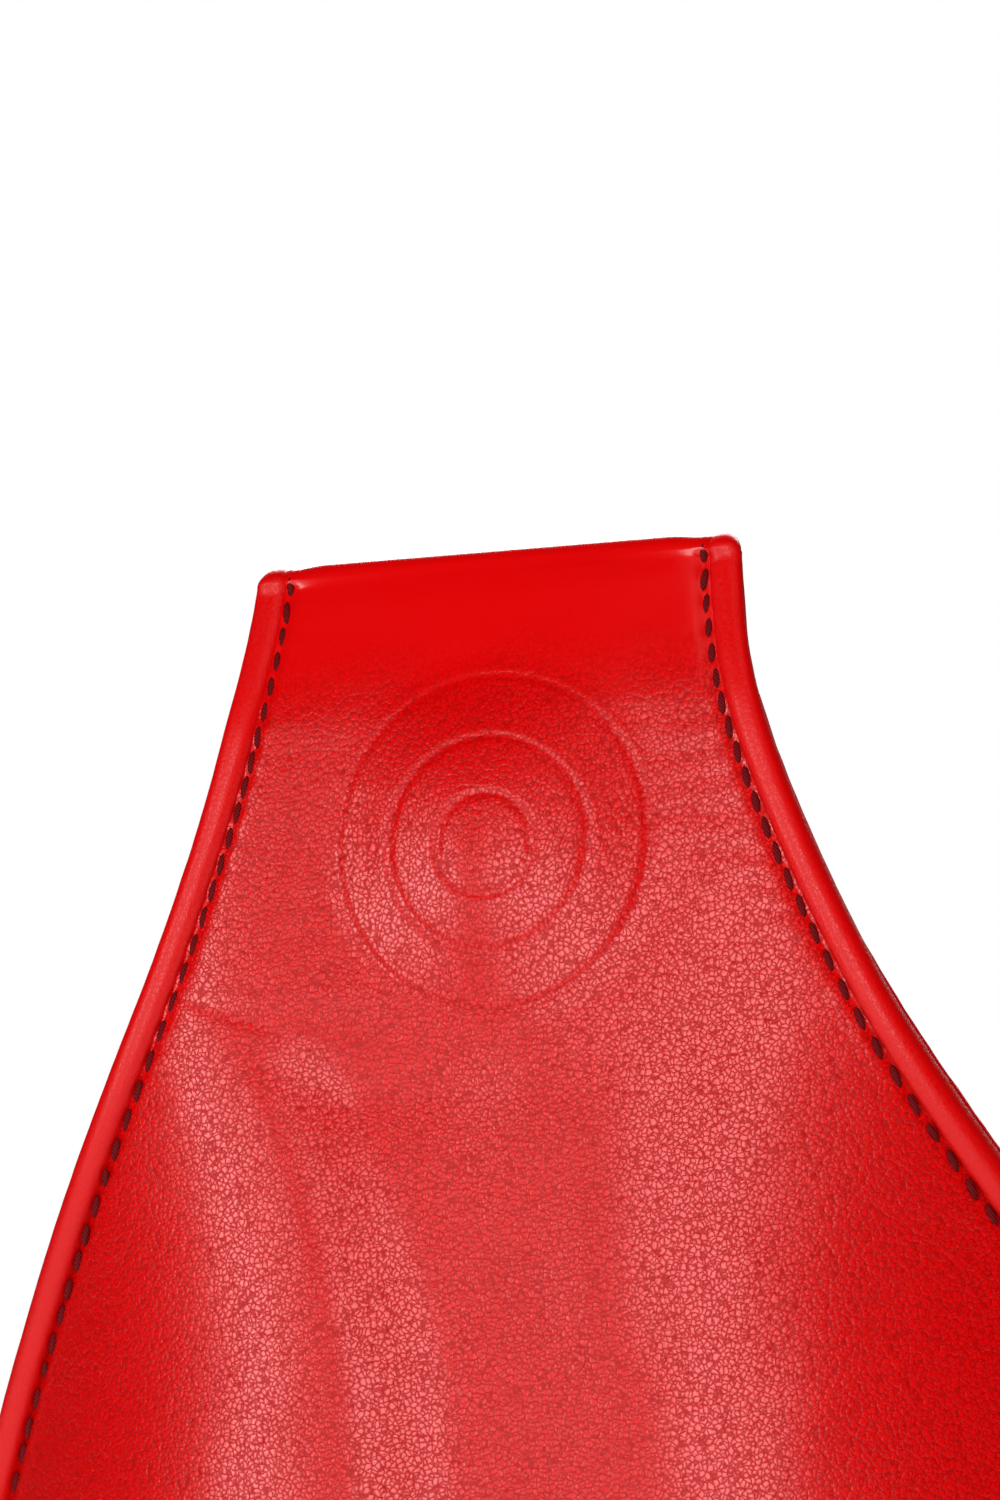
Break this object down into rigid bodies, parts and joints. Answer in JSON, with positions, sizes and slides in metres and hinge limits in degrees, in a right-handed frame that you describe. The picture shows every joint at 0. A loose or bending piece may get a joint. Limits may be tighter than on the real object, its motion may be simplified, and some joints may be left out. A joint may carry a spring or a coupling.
{
  "type": "focus mitt",
  "caption": "Leather boxing focus mitt with a domed padded striking face, a tapered wrist end folded over to the back, a hand pocket, a thumb sleeve and an opening wrist strap.",
  "frame": {"origin": "middle of the hand pocket's mouth, on the palm side of the back panel", "axes": "+Z from the fingers to the wrist, -Y towards the striking face, +X towards the wearer's thumb"},
  "size_m": [0.212, 0.099, 0.2757],
  "materials": {
    "red_leather": "semi-gloss, fine pebble grain",
    "red_edge_leather": "semi-gloss, smooth turned edge",
    "filler_cord": "twisted cotton",
    "soft_foam": "matte open-cell foam",
    "dense_foam": "matte closed-cell foam",
    "board": "matte sheet",
    "lining_cloth": "woven polyester",
    "fastener_tape": "hook-and-loop nap",
    "eyelet_metal": "bright nickel plate"
  },
  "bodies": {
    "mitt": {"face_cover": "red_leather", "back_cover": "red_leather", "side_gusset": "red_leather", "rim_binding": "red_edge_leather", "back_binding": "red_edge_leather", "rim_binding_cord": "filler_cord", "mark_disc": "soft_foam", "face_foam": "soft_foam", "core_foam": "dense_foam", "backing_board": "board", "palm_foam": "soft_foam", "hand_cover": "red_leather", "knuckle_padding": "soft_foam", "hand_lining": "lining_cloth", "pocket_mouth_binding": "red_edge_leather", "palm_ball_cover": "red_leather", "palm_ball_foam": "dense_foam", "thumb_sleeve": "red_leather", "thumb_lining": "lining_cloth", "thumb_mouth_binding": "red_edge_leather", "wrist_pad_cover": "lining_cloth", "wrist_pad_foam": "soft_foam", "strap_anchor": "red_leather", "strap_base": "red_leather", "loop_patch": "fastener_tape", "vent_eyelets": "eyelet_metal"},
    "strap": {"wrist_strap": "red_leather", "strap_lining": "lining_cloth"},
    "strap_end": {"strap_tip": "red_leather", "hook_patch": "fastener_tape"}
  },
  "joints": [
    {"name": "strap_swing", "type": "hinge", "parent": "mitt", "child": "strap", "pos_m": [-0.0471, 0.00295, 0.024], "axis": [0, 0, 1], "range_deg": [0, 75]},
    {"name": "tip_peel", "type": "hinge", "parent": "strap", "child": "strap_end", "pos_m": [0.02335, 0.04525, 0.024], "axis": [0, 0, 1], "range_deg": [0, 75]}
  ]
}
